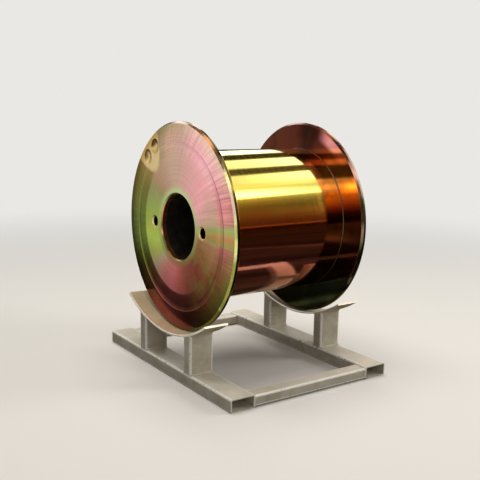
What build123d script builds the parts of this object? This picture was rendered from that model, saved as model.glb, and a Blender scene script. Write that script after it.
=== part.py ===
from build123d import *

import math
import os

# Steel flanged cable drum lying on its painted cradle. Sizes in millimetres.
# X runs along the drum's axis, Z is up, and the origin is on the floor under the drum's middle.

# Flanges: turned from round plate, alike but for the balance pockets
flange_diameter = 400.0
flange_thickness = 12.0
flange_gap = 282.0
flange_edge_chamfer = 3.6
bore_diameter = 127.0
bore_chamfer = 2.4

# Two drive holes on a circle about the bore, level with the axis
drive_hole_diameter = 20.0
drive_hole_chamfer = 2.5
drive_circle_diameter = 180.0

# Shallow ring groove turned in the outer face, with wide sloping sides
groove_circle_diameter = 315.0
groove_width = 11.0
groove_floor_width = 5.0
groove_depth = 0.4

# Balance pockets: shallow dishes cut with a ball-ended mill
pocket_diameter = 30.0
pocket_depth = 4.0
pocket_circle_diameter = 349.0
pocket_angles = (47.0, 59.0)

# Barrel that the cable is wound on, with its weld at each end turned to a small sloping fillet
barrel_diameter = 292.0
barrel_wall = 8.0
barrel_weld_leg = 1.6

# Centre tube that the spindle passes through, wider than the bores
spindle_tube_clearance = 5.0
spindle_tube_wall = 6.0

# Cradle: two rolled saddles, each on two legs and a cross rail, joined by tie rails
trestle_spacing = 314.0
seat_height = 87.0
seat_gap = 0.2
saddle_radius = 270.0
saddle_chord = 296.0
saddle_width = 50.0
saddle_thickness = 4.0
saddle_edge_chamfer = 0.8

leg_spacing = 176.0
leg_width = 25.0
leg_depth = 50.0
leg_weld_gap = 0.2

cross_rail_length = 472.0
cross_rail_width = 50.0
cross_rail_height = 25.0

tie_rail_width = 30.0
tie_rail_height = 20.0

tube_wall = 2.5
tube_corner_radius = 3.0

# What follows from the sizes above
flange_radius = flange_diameter / 2
bore_radius = bore_diameter / 2
barrel_radius = barrel_diameter / 2
flange_face = flange_gap / 2 + flange_thickness
axis_height = seat_height + seat_gap + flange_radius
saddle_centre_height = seat_height + saddle_radius
saddle_under_radius = saddle_radius + saddle_thickness


def about_axis(radius, length):
    """A cylinder of this radius along X, from X = 0 towards the flange's inner face."""
    return Rot(0, 90, 0) * Cylinder(radius, length, align=(Align.CENTER, Align.CENTER, Align.MIN))


def drill_point(radius, tip_radius, length):
    """A cone along X, of this radius at X = 0 and of tip_radius at its far end."""
    return Rot(0, 90, 0) * Cone(radius, tip_radius, length, align=(Align.CENTER, Align.CENTER, Align.MIN))


def turned_blank():
    """The round plate with its bore: outer face at X = 0, inner face at X = flange_thickness."""
    height = flange_radius - bore_radius
    section = Plane.XZ * Pos(flange_thickness / 2, bore_radius + height / 2) * Rectangle(flange_thickness, height)
    rim = section.vertices().group_by(Axis.Z)[-1]
    section = chamfer(rim, flange_edge_chamfer)
    mouth = section.vertices().group_by(Axis.Z)[0].sort_by(Axis.X)[0]
    section = chamfer(mouth, bore_chamfer)
    return revolve(section, Axis.X)


def ring_groove():
    """The ring that the turning tool takes out of the outer face, wider at its mouth than at its floor."""
    mouth, floor = groove_width / 2, groove_floor_width / 2
    cut = Polyline((0, mouth), (groove_depth, floor), (groove_depth, -floor), (0, -mouth), close=True)
    return revolve(Plane.XZ * Pos(0, groove_circle_diameter / 2) * make_face(cut), Axis.X)


def drive_hole(side):
    """One chamfered through hole, on the side of the axis that the sign gives."""
    radius = drive_hole_diameter / 2
    through = about_axis(radius, flange_thickness)
    mouth = drill_point(radius + drive_hole_chamfer, radius, drive_hole_chamfer)
    return Pos(0, side * drive_circle_diameter / 2, 0) * (through + mouth)


def balance_pocket(angle):
    """The ball that cuts one shallow dish, at this angle above the horizontal."""
    mouth_radius = pocket_diameter / 2
    ball_radius = (mouth_radius ** 2 + pocket_depth ** 2) / (2 * pocket_depth)
    place = Pos(pocket_depth - ball_radius, pocket_circle_diameter / 2, 0)
    return Rot(angle, 0, 0) * place * Rot(0, 0, 180) * Sphere(ball_radius)


def flange(pockets):
    """A finished flange, with a balance pocket at each of the angles given."""
    plate = turned_blank() - ring_groove()
    for side in (-1, 1):
        plate -= drive_hole(side)
    for angle in pockets:
        plate -= balance_pocket(angle)
    return plate


def barrel():
    """The winding tube between the flanges, with the weld's fillet at both ends."""
    section = Pos(0, barrel_radius - barrel_wall / 2) * Rectangle(flange_gap, barrel_wall)
    for side in (-1, 1):
        corner = Pos(side * flange_gap / 2, barrel_radius)
        bead = Polyline((0, 0), (-side * barrel_weld_leg, 0), (0, barrel_weld_leg), close=True)
        section += corner * make_face(bead)
    return revolve(Plane.XZ * section, Axis.X)


def spindle_tube():
    """The centre tube, butted to the inner faces round the bores."""
    inner = bore_radius + spindle_tube_clearance
    section = Pos(0, inner + spindle_tube_wall / 2) * Rectangle(flange_gap, spindle_tube_wall)
    return revolve(Plane.XZ * section, Axis.X)


def saddle():
    """Flat bar rolled to the saddle's radius, lowest at its middle."""
    half_angle = math.degrees(math.asin(saddle_chord / 2 / saddle_radius))
    bar = Plane.XZ * Pos(0, seat_height - saddle_thickness / 2) * Rectangle(saddle_width, saddle_thickness)
    bar = chamfer(bar.vertices(), saddle_edge_chamfer)
    bend = Axis((0, 0, saddle_centre_height), (1, 0, 0))
    rolled = revolve(bar, bend, 2 * half_angle)
    return rolled.rotate(bend, -half_angle)


def tube_section(width, height):
    """The cross-section of a rectangular tube with rounded corners."""
    inside = max(tube_corner_radius - tube_wall, 0.1)
    wall = RectangleRounded(width, height, tube_corner_radius)
    return wall - RectangleRounded(width - 2 * tube_wall, height - 2 * tube_wall, inside)


def leg(side):
    """An upright tube, its top coped to the underside of the saddle."""
    place = Pos(0, side * leg_spacing / 2, cross_rail_height)
    upright = place * extrude(tube_section(leg_depth, leg_width), saddle_centre_height - cross_rail_height)
    cope = about_axis(saddle_under_radius + leg_weld_gap, 2 * leg_depth)
    return upright - Pos(-leg_depth, 0, saddle_centre_height) * cope


def rail_along(plane, width, height, length):
    """A rectangular tube laid flat, centred on the plane's origin and running along its normal."""
    return plane * extrude(tube_section(width, height), length / 2, both=True)


def cross_rail():
    """The tube on the floor that carries both legs of one saddle."""
    plane = Plane((0, 0, cross_rail_height / 2), x_dir=(1, 0, 0), z_dir=(0, 1, 0))
    return rail_along(plane, cross_rail_width, cross_rail_height, cross_rail_length)


def tie_rail(side):
    """The tube that joins the cross rails flush with their ends, at half their height."""
    offset = side * (cross_rail_length - tie_rail_width) / 2
    plane = Plane((0, offset, cross_rail_height / 2), x_dir=(0, 1, 0), z_dir=(1, 0, 0))
    return rail_along(plane, tie_rail_width, tie_rail_height, trestle_spacing - cross_rail_width)


parts = {}

# The drum, with the outer faces of its flanges turned outwards
on_axis = Pos(0, 0, axis_height)
parts["flange_left"] = on_axis * Pos(-flange_face, 0, 0) * flange(pocket_angles)
parts["flange_right"] = on_axis * Pos(flange_face, 0, 0) * Rot(0, 0, 180) * flange(())
parts["barrel_tube"] = on_axis * barrel()
parts["spindle_tube"] = on_axis * spindle_tube()

# The cradle: one trestle under each flange
for end, along in (("left", -1), ("right", 1)):
    at_trestle = Pos(along * trestle_spacing / 2, 0, 0)
    parts["saddle_" + end] = at_trestle * saddle()
    parts["cross_rail_" + end] = at_trestle * cross_rail()
    for depth, across in (("far", 1), ("near", -1)):
        parts["leg_" + end + "_" + depth] = at_trestle * leg(across)

for depth, across in (("far", 1), ("near", -1)):
    parts["tie_rail_" + depth] = tie_rail(across)

os.makedirs("parts", exist_ok=True)
for name, shape in parts.items():
    export_step(shape, "parts/" + name + ".step")
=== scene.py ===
import functools
import math

import bmesh
import bpy
from mathutils import Matrix, Vector


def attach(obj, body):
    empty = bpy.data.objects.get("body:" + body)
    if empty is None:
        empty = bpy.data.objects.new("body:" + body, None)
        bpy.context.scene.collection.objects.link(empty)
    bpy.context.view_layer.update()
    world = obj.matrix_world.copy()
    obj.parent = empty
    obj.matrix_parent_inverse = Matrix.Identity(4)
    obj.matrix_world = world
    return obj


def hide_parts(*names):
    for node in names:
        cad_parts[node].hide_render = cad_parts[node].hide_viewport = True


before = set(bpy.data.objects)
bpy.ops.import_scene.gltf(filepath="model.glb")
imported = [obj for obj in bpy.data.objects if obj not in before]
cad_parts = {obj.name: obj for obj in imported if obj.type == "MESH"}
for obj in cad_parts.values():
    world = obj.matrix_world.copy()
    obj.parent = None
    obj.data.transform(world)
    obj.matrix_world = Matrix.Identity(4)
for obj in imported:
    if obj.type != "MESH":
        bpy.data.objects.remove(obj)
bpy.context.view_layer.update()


# Cross rails: two rectangular steel tubes flat on the floor, one under each trestle, with open
# sawn ends. Each was cut from drawn tube, so its long corners are rounded, and the whole cradle
# was sprayed with grey-white enamel after it was welded.
CROSS_RAIL_WIDTH = 0.050
CROSS_RAIL_HEIGHT = 0.025
CROSS_RAIL_REACH = 0.236
TRESTLE_X = 0.157
TUBE_WALL = 0.0025
TUBE_CORNER = 0.003
HIGHLIGHT_AND_WEAR_STRIP = 0.0016
SHARP_BAR_EDGE = math.radians(35)
ENDS = (("left", -1), ("right", 1))


def linear(hex_colour, alpha=1.0):
    """An sRGB hex colour such as "#c8bfa8" as the linear RGBA that a socket takes."""
    channels = [int(hex_colour[i:i + 2], 16) / 255 for i in (1, 3, 5)]
    channels = [c / 12.92 if c <= 0.04045 else ((c + 0.055) / 1.055) ** 2.4 for c in channels]
    return (*channels, alpha)


# The setting that says how each kind of node works, where it isn't called mode
MODE_OF = {"Math": "operation", "VectorMath": "operation", "Mix": "data_type",
           "MapRange": "interpolation_type"}


def add_node(tree, kind, inputs=(), mode=None, stops=(), **settings):
    """Add a node, its kind without the word ShaderNode. Inputs, listed in order or by name, are
    values, sockets, or nodes whose first output in use feeds them. Stops are a ramp's (place, hex
    colour) or (place, hex colour, alpha), and the rest are the node's other settings."""
    node = tree.nodes.new(kind if "Node" in kind else "ShaderNode" + kind)
    if mode:
        setattr(node, MODE_OF.get(kind, "mode"), mode)
    for name, value in settings.items():
        setattr(node, name, value)
    for socket, value in inputs.items() if isinstance(inputs, dict) else enumerate(inputs):
        if isinstance(value, bpy.types.Node):
            value = next(output for output in value.outputs if output.enabled)
        if isinstance(value, bpy.types.NodeSocket):
            tree.links.new(value, node.inputs[socket])
        else:
            node.inputs[socket].default_value = value
    if stops:
        elements = node.color_ramp.elements
        while len(elements) < len(stops):
            elements.new(1.0)
        for element, (position, *colour) in zip(elements, stops):
            element.position = position
            element.color = linear(*colour)
    return node


def new_material(name):
    """An empty material, and add_node for its own nodes."""
    material = bpy.data.materials.new(name)
    material.use_nodes = True
    material.node_tree.nodes.clear()
    return material, functools.partial(add_node, material.node_tree)


def surfaced(material, add, surface, relief, strength, depth):
    """The material, finished with a surface of these inputs that the relief raises by the depth."""
    bump = add("Bump", {"Height": relief, "Strength": strength, "Distance": depth})
    shader = add("BsdfPrincipled", {"Normal": bump, **surface})
    add("OutputMaterial", [shader])
    return material


def cradle_enamel(name, colours, side_shade_colour, corner_highlight_and_wear, edge_metal):
    """Sprayed enamel over mild steel: satin and warm grey-white, with a spray gun's orange peel. Its
    upright sides and undersides are darkened in patches, a painted shade that leaves its tops lighter.
    Along the corners it is paler: a painted highlight where edge_metal is 0, and bare bright steel where it
    is 1. The corners' ramp is (mark, colour, how much of it shows), and what shows is as metallic as
    edge_metal."""
    material, add = new_material(name)
    place = add("TexCoord").outputs["Object"]
    faces = add("SeparateXYZ", [add("NewGeometry").outputs["Normal"]])
    # Clouds of handling dirt, about 60 mm across
    clouds = add("TexNoise",
                 {"Vector": place, "Scale": 16.0, "Detail": 5.0, "Roughness": 0.62, "Distortion": 0.4})
    paint = add("ValToRGB", [clouds], stops=list(zip((0.30, 0.50, 0.70), colours)))
    # Painted shade: the upright sides and undersides are darkened in patches towards a grey-brown, so that
    # the tops come out lighter
    upright = add("MapRange", [faces.outputs["Z"], 0.8, 0.1], "SMOOTHSTEP")
    patch_noise = add("TexNoise", {"Vector": place, "Scale": 34.0, "Detail": 5.0, "Roughness": 0.6})
    shade_patches = add("MapRange", [patch_noise, 0.35, 0.75, 0.15, 0.75])
    side_shade = add("Math", [upright, shade_patches], "MULTIPLY")
    side_shaded = add("Mix", {0: side_shade, 6: paint, 7: linear(side_shade_colour)}, "RGBA")
    # Corners paler in patches, from the mesh attribute that is 1 on the corners of a piece: a painted
    # highlight on plain enamel, bare steel where edge_metal is 1
    corners = add("Attribute", attribute_name="wear_and_highlight")
    patches = add("TexNoise", {"Vector": place, "Scale": 150.0, "Detail": 3.0})
    wear_and_highlight = add("Math", [corners.outputs["Fac"], patches], "MULTIPLY")
    corner_sheen_and_wear = add("ValToRGB", [wear_and_highlight], stops=corner_highlight_and_wear)
    colour = add("Mix", {0: corner_sheen_and_wear.outputs["Alpha"], 6: side_shaded, 7: corner_sheen_and_wear}, "RGBA")
    bare = add("Math", [corner_sheen_and_wear.outputs["Alpha"], edge_metal], "MULTIPLY")
    sheen = add("MapRange", [patch_noise, 0.3, 0.7, 0.34, 0.5])
    # Orange peel is about 1 mm from crest to crest, drawn at 2.5 mm so that it shows
    peel = add("TexNoise", {"Vector": place, "Scale": 400.0, "Detail": 2.0})
    return surfaced(material, add,
                    {"Base Color": colour, "Roughness": sheen, "IOR": 1.5, "Metallic": bare},
                    peel, 0.1, 0.001)


def tube_corners(half_width, half_height, radius, steps=4):
    """Corner points of a tube's section as (across, up, corner mark), with a point beside each corner."""
    points = []
    for corner, (side, top) in enumerate(((1, 1), (-1, 1), (-1, -1), (1, -1))):
        x, y = side * (half_width - radius), top * (half_height - radius)
        start = math.pi / 2 * corner
        out_x, out_y = math.cos(start), math.sin(start)
        turns = [start + math.pi / 2 * i / steps for i in range(steps + 1)]
        arc = [(x + radius * math.cos(turn), y + radius * math.sin(turn), 1.0) for turn in turns]
        points.append((arc[0][0] + out_y * HIGHLIGHT_AND_WEAR_STRIP, arc[0][1] - out_x * HIGHLIGHT_AND_WEAR_STRIP, 0.0))
        points += arc
        points.append((arc[-1][0] - out_x * HIGHLIGHT_AND_WEAR_STRIP, arc[-1][1] - out_y * HIGHLIGHT_AND_WEAR_STRIP, 0.0))
    return points


def placed(name, data):
    """A new object in the scene, for a mesh, a lamp or a camera."""
    thing = bpy.data.objects.new(name, data)
    bpy.context.scene.collection.objects.link(thing)
    return thing


def face_out(mesh, merge=False):
    """Turn a mesh's faces outwards, once its doubles are merged where it has any."""
    build = bmesh.new()
    build.from_mesh(mesh)
    if merge:
        bmesh.ops.remove_doubles(build, verts=build.verts, dist=1e-6)
    bmesh.ops.recalc_face_normals(build, faces=build.faces)
    build.to_mesh(mesh)
    build.free()


def skin(name, rings, material, around=False):
    """A mesh piece over rings of (x, y, z, corner mark), capped, or joined round when it is a tube."""
    count = len(rings[0])
    points = [point for ring in rings for point in ring]
    faces = []
    for row in range(len(rings) if around else len(rings) - 1):
        here, there = row * count, (row + 1) % len(rings) * count
        for i in range(count):
            j = (i + 1) % count
            faces.append((here + i, here + j, there + j, there + i))
    if not around:
        faces.append(tuple(reversed(range(count))))
        faces.append(tuple(range(len(points) - count, len(points))))
    mesh = bpy.data.meshes.new(name)
    mesh.from_pydata([point[:3] for point in points], [], faces)
    wear_and_highlight = mesh.attributes.new("wear_and_highlight", "FLOAT", "POINT")
    wear_and_highlight.data.foreach_set("value", [point[3] for point in points])
    face_out(mesh)
    mesh.shade_smooth()
    mesh.set_sharp_from_angle(angle=SHARP_BAR_EDGE)
    mesh.materials.append(material)
    return placed(name, mesh)


def tube(name, place, stations, width, height, material):
    """A rectangular tube: place(across, up, along) gives a point, stations are along its length."""
    outside = tube_corners(width / 2, height / 2, TUBE_CORNER)
    inside = tube_corners(width / 2 - TUBE_WALL, height / 2 - TUBE_WALL, TUBE_CORNER - TUBE_WALL)
    rings = []
    for station in stations:
        at_end = float(station in (stations[0], stations[-1]))
        rings.append([(*place(a, u, station), max(w, at_end)) for a, u, w in outside])
    for station in reversed(stations):
        rings.append([(*place(a, u, station), 0.0) for a, u, w in inside])
    return skin(name, rings, material, around=True)


def end_to_end(reach):
    """Stations along a tube with one just inside each end, where the pale corner strip stops."""
    return (-reach, -reach + HIGHLIGHT_AND_WEAR_STRIP, reach - HIGHLIGHT_AND_WEAR_STRIP, reach)


# Painted highlights: pale lines along the corners, with a few chips down to the primer
CORNER_HIGHLIGHTS_AND_CHIPS = (
    (0.20, "#f6f3ea", 0.0), (0.36, "#f6f3ea", 0.85), (0.63, "#f6f3ea", 0.85), (0.66, "#7d6a52", 0.75))
# The grey-brown given here is the painted shade on the upright sides
enamel = cradle_enamel("satin_enamel_on_steel", ("#beb7a4", "#cdc6b5", "#d8d2c5"), "#8e856f",
                       CORNER_HIGHLIGHTS_AND_CHIPS, 0.0)
for end, along in ENDS:
    rail = tube("rail_cross_" + end,
                lambda a, u, s: (along * TRESTLE_X + a, s, CROSS_RAIL_HEIGHT / 2 + u),
                end_to_end(CROSS_RAIL_REACH), CROSS_RAIL_WIDTH, CROSS_RAIL_HEIGHT, enamel)
    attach(rail, "root")
    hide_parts("cross_rail_" + end)


# Tie rails: two lighter tubes that hold the trestles apart, near and far, each butted between
# the cross rails flush with their ends and welded all round.
TIE_RAIL_WIDTH = 0.030
TIE_RAIL_HEIGHT = 0.020
TIE_RAIL_Y = 0.221
TIE_RAIL_REACH = 0.132
DEPTHS = (("far", 1), ("near", -1))

for depth, across in DEPTHS:
    rail = tube("rail_tie_" + depth,
                lambda a, u, s: (s, across * TIE_RAIL_Y + a, CROSS_RAIL_HEIGHT / 2 + u),
                end_to_end(TIE_RAIL_REACH), TIE_RAIL_WIDTH, TIE_RAIL_HEIGHT, enamel)
    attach(rail, "root")
    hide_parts("tie_rail_" + depth)


# Legs: four uprights of the same tube as the cross rails, two to a trestle, each with its top
# cut to the curve of the saddle it carries.
LEG_DEPTH = 0.050
LEG_WIDTH = 0.025
LEG_Y = 0.088
# Stations up a leg, as shares of its height, the inner two where the pale corner strips stop
LEG_STATIONS = (0.0, 0.02, 0.98, 1.0)
SADDLE_CENTRE_Z = 0.357
COPE_RADIUS = 0.2742


def cope_height(y):
    """Height of a leg's coped top, which is a curve about the saddle's centre."""
    return SADDLE_CENTRE_Z - math.sqrt(COPE_RADIUS * COPE_RADIUS - y * y)


for end, along in ENDS:
    for depth, across in DEPTHS:
        def on_leg(a, u, s):
            """A point of the upright, s being 0 at its foot and 1 at its coped top."""
            y = across * LEG_Y + u
            rise = s * (cope_height(y) - CROSS_RAIL_HEIGHT)
            return (along * TRESTLE_X + a, y, CROSS_RAIL_HEIGHT + rise)

        leg = tube("upright_" + end + "_" + depth, on_leg, LEG_STATIONS, LEG_DEPTH, LEG_WIDTH, enamel)
        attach(leg, "root")
        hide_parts("leg_" + end + "_" + depth)


# Saddles: two strips of flat bar, rolled to an easy curve and welded across the tops of the legs. The
# flanges rest on them. Their paint is tinted tan all over: painted light, the drum's gold light thrown onto
# them.
SADDLE_RADIUS = 0.270
SADDLE_THICKNESS = 0.004
SADDLE_WIDTH = 0.050
SADDLE_CHORD = 0.296
SADDLE_EDGE = 0.0008
SADDLE_STEPS = 96

# The bar's edges are rubbed bare and bright
BARE_EDGES = ((0.24, "#f0ece2", 0.0), (0.36, "#f0ece2", 1.0))
# Painted light: a tan tint all over for the drum's gold light, and the grey-brown given is the painted
# shade on the upright sides
drum_lit_enamel = cradle_enamel("satin_enamel_stained", ("#b4a27e", "#c8b694", "#d4c8aa"), "#a89a7c",
                        BARE_EDGES, 1.0)
half_angle = math.asin(SADDLE_CHORD / 2 / SADDLE_RADIUS)
bar = tube_corners(SADDLE_WIDTH / 2, SADDLE_THICKNESS / 2, SADDLE_EDGE, steps=3)
bar = [point for point in bar if abs(point[0]) < SADDLE_WIDTH / 2 - 0.0001 or point[2] == 1.0]
bend = [-half_angle + 2 * half_angle * i / SADDLE_STEPS for i in range(SADDLE_STEPS + 1)]
for end, along in ENDS:
    rings = []
    for angle in bend:
        at_end = float(angle in (bend[0], bend[-1]))
        ring = []
        for a, u, w in bar:
            reach = SADDLE_RADIUS + SADDLE_THICKNESS / 2 - u
            ring.append((along * TRESTLE_X + a, reach * math.sin(angle),
                         SADDLE_CENTRE_Z - reach * math.cos(angle), max(w, at_end)))
        rings.append(ring)
    saddle = skin("rolled_saddle_" + end, rings, drum_lit_enamel)
    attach(saddle, "root")
    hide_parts("saddle_" + end)


# Weld beads: the rippled fillets of a hand-held torch, round the feet and tops of the legs and
# round the ends of the tie rails, ground flush where two sides are level, and painted over with
# the rest of the cradle.
BEAD_RADIUS = {"feet": 0.0034, "tops": 0.0026, "ties": 0.0021}
BEAD_PITCH = 0.0030
# The fattest ripple, as a share of the bead's radius
BEAD_SPREAD = 1.3
# A bead's middle lies this deep in the steel it joins, and stands this much off a leg's sides
SEAM_DEPTH = 0.0003
LEG_STAND_OFF = 1.02
# Round a tie rail's end it lies a little within the tube's outline
TIE_INSET = (0.99, 0.95)


def new_geometry(name, given, result):
    """An empty geometry tree with named inputs, {name: kind}, and add_node for its own nodes."""
    tree = bpy.data.node_groups.new(name, "GeometryNodeTree")
    for label, kind in given.items():
        tree.interface.new_socket(label, in_out="INPUT", socket_type="NodeSocket" + kind)
    tree.interface.new_socket(result, in_out="OUTPUT", socket_type="NodeSocketGeometry")
    return tree, functools.partial(add_node, tree)


def bead_tree():
    """Nodes that run a rippled bead along the edges of a mesh."""
    tree, add = new_geometry("weld_bead", {"Seam": "Geometry", "Bead Radius": "Float",
                                           "Ripple Pitch": "Float", "Material": "Material"}, "Bead")
    given = add("NodeGroupInput").outputs
    path = add("GeometryNodeMeshToCurve", [given["Seam"]])
    step = add("Math", [given["Ripple Pitch"], 0.25], "MULTIPLY")
    evenly = add("GeometryNodeResampleCurve", {"Curve": path, "Length": step}, mode="LENGTH")
    length = add("GeometryNodeSplineParameter").outputs["Length"]
    turns = add("Math", [length, given["Ripple Pitch"]], "DIVIDE")
    phase = add("Math", [turns, math.tau], "MULTIPLY")
    wave = add("Math", [phase], "SINE")
    ripple = add("Math", [wave, 0.10, 0.95], "MULTIPLY_ADD")
    wobble = add("TexNoise", {"Scale": 90.0, "Detail": 1.0})
    hand = add("MapRange", [wobble, 0.3, 0.7, 0.8, 1.2])
    uneven = add("Math", [ripple, hand], "MULTIPLY")
    thick = add("Math", [uneven, given["Bead Radius"]], "MULTIPLY")
    section = add("GeometryNodeCurvePrimitiveCircle", {"Resolution": 8, "Radius": 1.0})
    swept = add("GeometryNodeCurveToMesh", {"Curve": evenly, "Profile Curve": section, "Scale": thick})
    smooth = add("GeometryNodeSetShadeSmooth", [swept])
    real = add("GeometryNodeRealizeInstances", [smooth])
    painted = add("GeometryNodeSetMaterial", {0: real, "Material": given["Material"]})
    add("NodeGroupOutput", [painted])
    return tree


def grown(name, points, edges, tree, **given):
    """A plain mesh piece grown by a node tree from points and the edges between them."""
    mesh = bpy.data.meshes.new(name)
    mesh.from_pydata(points, edges, [])
    seed = placed(name, mesh)
    grow = seed.modifiers.new("grow", "NODES")
    grow.node_group = tree
    for socket in tree.interface.items_tree:
        key = socket.name.replace(" ", "_").lower()
        if socket.in_out == "INPUT" and key in given:
            grow[socket.identifier] = given[key]
    graph = bpy.context.evaluated_depsgraph_get()
    done = bpy.data.meshes.new_from_object(seed.evaluated_get(graph), depsgraph=graph)
    seed.modifiers.remove(grow)
    seed.data = done
    done.name = name
    bpy.data.meshes.remove(mesh)
    face_out(done, merge=True)
    return seed


def closed_loops(loops):
    """Points and edges of several closed loops."""
    points, edges = [], []
    for loop in loops:
        first = len(points)
        points += loop
        edges += [(first + i, first + (i + 1) % len(loop)) for i in range(len(loop))]
    return points, edges


def level_with(reach, where):
    """How far out a bead's middle may lie for the bead to end level with a side at this reach."""
    return reach - BEAD_SPREAD * BEAD_RADIUS[where]


bead_nodes = bead_tree()
foot = [(a, u) for a, u, w in tube_corners(LEG_DEPTH / 2, LEG_WIDTH / 2, TUBE_CORNER)]
tie_end = [(a * TIE_INSET[0], u * TIE_INSET[1]) for a, u, w in
           tube_corners(TIE_RAIL_WIDTH / 2, TIE_RAIL_HEIGHT / 2, TUBE_CORNER)]
foot_reach = level_with(LEG_DEPTH / 2, "feet")
top_reach = level_with(LEG_DEPTH / 2, "tops")
tie_reach = level_with(CROSS_RAIL_REACH, "ties")
seams = {"feet": [], "tops": [], "ties": []}
for along in (-1, 1):
    x = along * TRESTLE_X
    for across in (-1, 1):
        sides = [(a, across * LEG_Y + u * LEG_STAND_OFF) for a, u in foot]
        seams["feet"].append([(x + max(-foot_reach, min(foot_reach, a)), y, CROSS_RAIL_HEIGHT + SEAM_DEPTH)
                              for a, y in sides])
        seams["tops"].append([(x + max(-top_reach, min(top_reach, a)), y, cope_height(y) - SEAM_DEPTH)
                              for a, y in sides])
        seams["ties"].append([(along * (TIE_RAIL_REACH - SEAM_DEPTH),
                               across * min(tie_reach, TIE_RAIL_Y + a), CROSS_RAIL_HEIGHT / 2 + u)
                              for a, u in tie_end])
for where, loops in seams.items():
    bead = grown("weld_beads_" + where, *closed_loops(loops), bead_nodes,
                 bead_radius=BEAD_RADIUS[where], ripple_pitch=BEAD_PITCH, material=enamel)
    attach(bead, "root")


# Spindle tube: the plain steel pipe inside the drum that a spindle passes through. It was left
# bare, and inside it is dark with mill scale and old grease.
AXIS_Z = 0.2872
SPINDLE_INSIDE = 0.0685
SPINDLE_OUTSIDE = 0.0745
FLANGE_INNER = 0.141
PIPE_SEGMENTS = 256
SHARP_TURNED_EDGE = math.radians(28)


def turned_tree():
    """Nodes that turn a closed outline of (radius, place on the axis) round the drum's axis."""
    tree, add = new_geometry("turned_on_the_axis", {"Outline": "Geometry", "Segments": "Int",
                                                    "Centre": "Vector", "Material": "Material"},
                             "Turned")
    given = add("NodeGroupInput").outputs
    outline = add("GeometryNodeMeshToCurve", [given["Outline"]])
    inward = add("GeometryNodeTransform", {0: outline, "Translation": (-1.0, 0.0, 0.0)})
    circle = add("GeometryNodeCurvePrimitiveCircle", {"Resolution": given["Segments"], "Radius": 1.0})
    level = add("GeometryNodeSetCurveNormal", [circle], mode="Z_UP")
    swept = add("GeometryNodeCurveToMesh", {"Curve": level, "Profile Curve": inward})
    laid = add("GeometryNodeTransform",
               {0: swept, "Translation": given["Centre"], "Rotation": (0.0, -math.pi / 2, 0.0)})
    real = add("GeometryNodeRealizeInstances", [laid])
    finished = add("GeometryNodeSetMaterial", {0: real, "Material": given["Material"]})
    add("NodeGroupOutput", [finished])
    return tree


def eased(outline, ease=0.0004, steps=3, hold=0.0003):
    """The outline with its corners rounded a little, and a point on either side of each that
    keeps the flats beside it flat."""
    points = []
    for i, corner in enumerate(outline):
        here = Vector(corner)
        back = Vector(outline[i - 1]) - here
        ahead = Vector(outline[(i + 1) % len(outline)]) - here
        trim = ease * math.tan((math.pi - back.angle(ahead)) / 2)
        back.normalize()
        ahead.normalize()
        start = here + back * trim
        finish = here + ahead * trim
        points.append(tuple(start + back * hold))
        for step in range(steps + 1):
            t = step / steps
            points.append(tuple(start * (1 - t) ** 2 + here * 2 * t * (1 - t) + finish * t * t))
        points.append(tuple(finish + ahead * hold))
    return points


def turned(name, outline, segments, material, centre=(0.0, 0.0, AXIS_Z)):
    """A piece turned from a closed outline, smooth but for its sharp edges."""
    piece = grown(name, *closed_loops([[(r, x, 0.0) for r, x in outline]]), turned_nodes,
                  segments=segments, centre=centre, material=material)
    piece.data.shade_smooth()
    piece.data.set_sharp_from_angle(angle=SHARP_TURNED_EDGE)
    return piece


def pipe_steel():
    """Hot-rolled pipe: dull blue-black mill scale, with brown rust where the scale is off."""
    material, add = new_material("mill_scale_pipe")
    place = add("TexCoord").outputs["Object"]
    flakes = add("TexNoise", {"Vector": place, "Scale": 70.0, "Detail": 6.0, "Roughness": 0.6})
    colour = add("ValToRGB", [flakes], stops=((0.35, "#1d1a19"), (0.56, "#2b2523"), (0.70, "#4a2f20")))
    sheen = add("MapRange", [flakes, 0.3, 0.7, 0.42, 0.7])
    return surfaced(material, add, {"Base Color": colour, "Roughness": sheen, "Metallic": 0.6},
                    flakes, 0.3, 0.0005)


turned_nodes = turned_tree()
pipe = turned("spindle_pipe", eased([
    (SPINDLE_INSIDE, -FLANGE_INNER), (SPINDLE_OUTSIDE, -FLANGE_INNER), (SPINDLE_OUTSIDE, FLANGE_INNER),
    (SPINDLE_INSIDE, FLANGE_INNER)]), PIPE_SEGMENTS, pipe_steel())
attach(pipe, "root")
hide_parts("spindle_tube")


# Barrel: thick steel tube, turned and polished, then zinc plated and dipped in yellow chromate.
# It is welded to both flanges, and the weld is turned down to a small sloping fillet.
BARREL_RADIUS = 0.146
BARREL_WALL = 0.008
BARREL_WELD = 0.0016
BARREL_SEGMENTS = 720
WELD_START = FLANGE_INNER - BARREL_WELD
WELD_RIM = 0.0006
# Film colours round the tube, by the share of a turn from the far side down and round
BARREL_FILM = (
    (0.02, "#f2a04a"), (0.09, "#ffaa81"), (0.16, "#d8cfc0"), (0.25, "#d4c0ac"), (0.30, "#f0b890"),
    (0.36, "#f8a87c"), (0.41, "#fca088"), (0.44, "#ffa292"), (0.50, "#ee8a48"), (0.53, "#f2a04a"),
    (0.55, "#f6c050"), (0.58, "#fbe070"), (0.62, "#fdf48c"), (0.75, "#fdf3a0"), (0.90, "#fbe070"),
    (0.96, "#f6c050"))


def share_of_turn(add, away, height):
    """Angle about the axis as 0 to 1, from the far side (0) under the drum (0.25), the near side
    (0.5) and the top (0.75)."""
    nearer = add("Math", [away, -1.0], "MULTIPLY")
    angle = add("Math", [height, nearer], "ARCTAN2")
    return add("Math", [angle, 1 / math.tau, 0.5], "MULTIPLY_ADD")


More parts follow.
